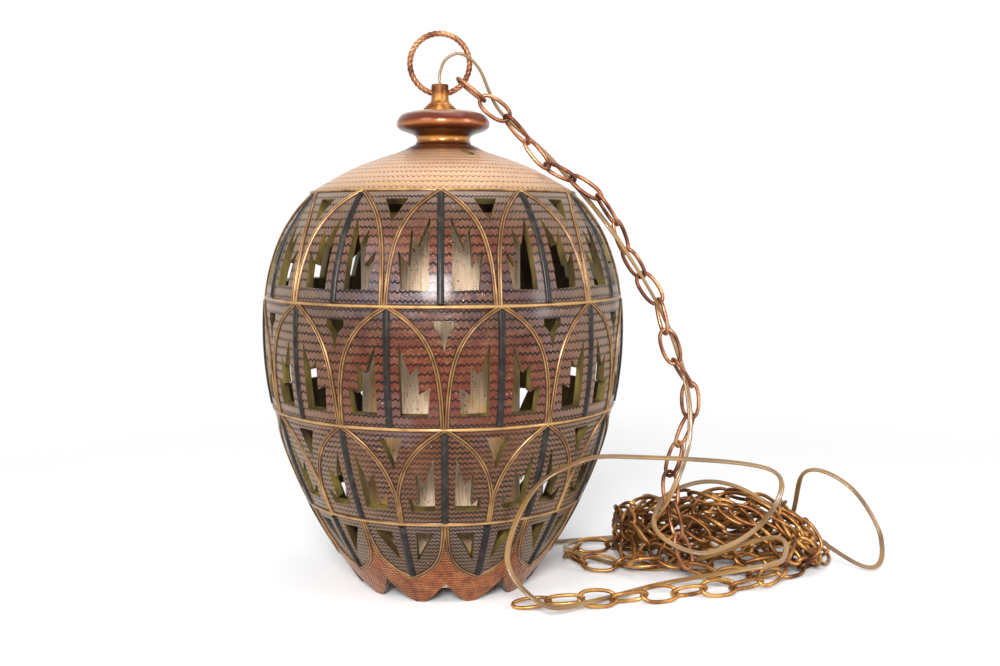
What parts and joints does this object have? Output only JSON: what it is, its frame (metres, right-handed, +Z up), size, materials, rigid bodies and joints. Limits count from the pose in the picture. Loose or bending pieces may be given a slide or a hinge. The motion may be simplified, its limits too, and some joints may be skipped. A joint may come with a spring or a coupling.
{
  "type": "swag lamp",
  "caption": "Pierced lustre-glazed ceramic swag lamp with fabric liner, finial, hanging ring, link chain and flat cord, set down on its scalloped hem.",
  "frame": {"origin": "on the floor, under the middle of the lamp and its chain taken together", "axes": "+Z up, +X towards the heaped chain, -Y towards the viewer of the picture"},
  "size_m": [0.6196, 0.3971, 0.5271],
  "materials": {
    "lustre_glaze": "glossy brown glaze with gold and lilac lustre",
    "copper_glaze": "glossy copper-red lustre glaze",
    "brass": "aged, lightly polished",
    "aged_copper": "antique copper plating on steel wire",
    "zinc_steel": "zinc plated",
    "liner_fabric": "coarse beige weave",
    "fibreboard": "plain fibre",
    "phenolic": "moulded, satin",
    "frosted_glass": "frosted inside",
    "cord_vinyl": "translucent gold-brown vinyl",
    "plug_vinyl": "moulded brown vinyl"
  },
  "bodies": {
    "lamp": {"ceramic_shell": "lustre_glaze", "finial_spool": "copper_glaze", "nozzle": "brass", "threaded_tube": "brass", "washer_inner": "zinc_steel", "lock_nut": "zinc_steel", "liner_top_ring": "zinc_steel", "liner_bottom_ring": "zinc_steel", "liner": "liner_fabric", "spider_nut": "zinc_steel", "socket_cap": "brass", "socket_shell": "brass", "socket_insulator": "fibreboard", "socket_core": "phenolic", "socket_screw_shell": "brass", "inner_lead": "cord_vinyl", "chain_link_01": "aged_copper", "chain_link_02": "aged_copper", "chain_link_03": "aged_copper", "chain_link_04": "aged_copper", "chain_link_05": "aged_copper", "chain_link_06": "aged_copper", "chain_link_07": "aged_copper", "chain_link_08": "aged_copper", "chain_link_09": "aged_copper", "chain_link_10": "aged_copper", "chain_link_11": "aged_copper", "chain_link_12": "aged_copper", "chain_link_13": "aged_copper", "chain_link_14": "aged_copper", "chain_link_15": "aged_copper", "chain_link_16": "aged_copper", "chain_link_17": "aged_copper", "chain_link_18": "aged_copper", "chain_link_19": "aged_copper", "chain_pile": "aged_copper", "tail_link_01": "aged_copper", "tail_link_02": "aged_copper", "tail_link_03": "aged_copper", "tail_link_04": "aged_copper", "tail_link_05": "aged_copper", "cord": "cord_vinyl", "cord_coil": "cord_vinyl", "plug_body": "plug_vinyl", "plug_blade_left": "brass", "plug_blade_right": "brass"},
    "ring": {"hanging_ring": "aged_copper"},
    "bulb": {"bulb_base": "brass", "bulb_glass": "frosted_glass"},
    "tail_next": {"tail_link_06": "aged_copper"},
    "tail_end": {"tail_link_07": "aged_copper"}
  },
  "joints": [
    {"name": "ring_swing", "type": "hinge", "parent": "lamp", "child": "ring", "pos_m": [-0.11737, 0.0019, 0.46835], "axis": [-1, 0, 0], "range_deg": [0, 7]},
    {"name": "bulb_turn", "type": "hinge", "parent": "lamp", "child": "bulb", "pos_m": [-0.11737, 0, 0.3], "axis": [0, 0, 1], "continuous": true},
    {"name": "tail_next_lift", "type": "hinge", "parent": "lamp", "child": "tail_next", "pos_m": [0.00563, -0.10424, 0.00919], "axis": [-0.0517, 0.7057, 0.7066], "range_deg": [0, 60]},
    {"name": "tail_end_lift", "type": "hinge", "parent": "tail_next", "child": "tail_end", "pos_m": [-0.02405, -0.10072, 0.00636], "axis": [0.1325, 0.6972, -0.7045], "range_deg": [0, 60]}
  ]
}
